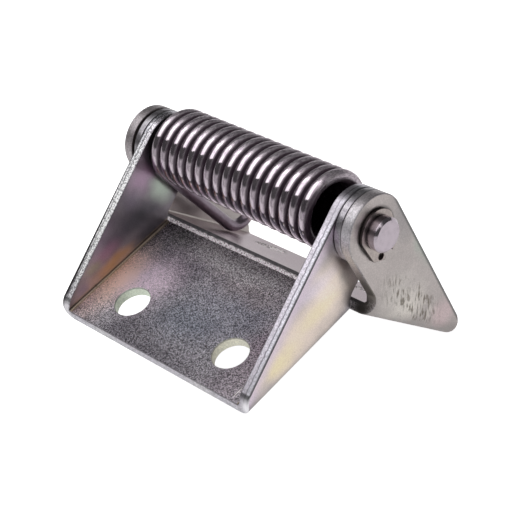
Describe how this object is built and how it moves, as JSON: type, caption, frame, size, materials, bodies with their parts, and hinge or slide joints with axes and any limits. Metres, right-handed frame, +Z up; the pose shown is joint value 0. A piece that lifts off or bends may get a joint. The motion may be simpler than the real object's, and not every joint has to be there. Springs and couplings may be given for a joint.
{
  "type": "sprung gate hinge",
  "caption": "Gate hinge of folded sheet metal: a fixed and a swinging bracket on one pin, sprung shut by a torsion spring coiled round the pin.",
  "frame": {"origin": "midway between the fixed plate's two bolt holes, on the plate's underside", "axes": "+X along the hinge pin, +Y from the fixed plate toward the swinging leaf, +Z up out of the mounting surface"},
  "size_m": [0.1204, 0.0875, 0.0833],
  "materials": {
    "plated_sheet": "zinc plated and passivated, grainy, with pink and green tints",
    "plated_leaf": "zinc plated and passivated, grey-beige, lightly scuffed",
    "pin_steel": "plain turned steel, bright",
    "spring_wire": "drawn spring wire, dark, glossy",
    "plated_washer": "zinc plated",
    "ring_steel": "plain spring steel, dull"
  },
  "bodies": {
    "fixed_side": {"fixed_bracket": "plated_sheet", "hinge_pin": "pin_steel", "torsion_spring": "spring_wire", "left_washer": "plated_washer", "right_washer": "plated_washer", "left_ring": "ring_steel", "right_ring": "ring_steel"},
    "swing_side": {"swing_bracket": "plated_leaf"}
  },
  "joints": [
    {"name": "leaf_swing", "type": "hinge", "parent": "fixed_side", "child": "swing_side", "pos_m": [0, 0.05, 0.0285], "axis": [1, 0, 0], "range_deg": [0, 170], "stiffness_Nm_per_rad": 3.4, "springref_deg": -30, "deforming": ["torsion_spring"]}
  ]
}
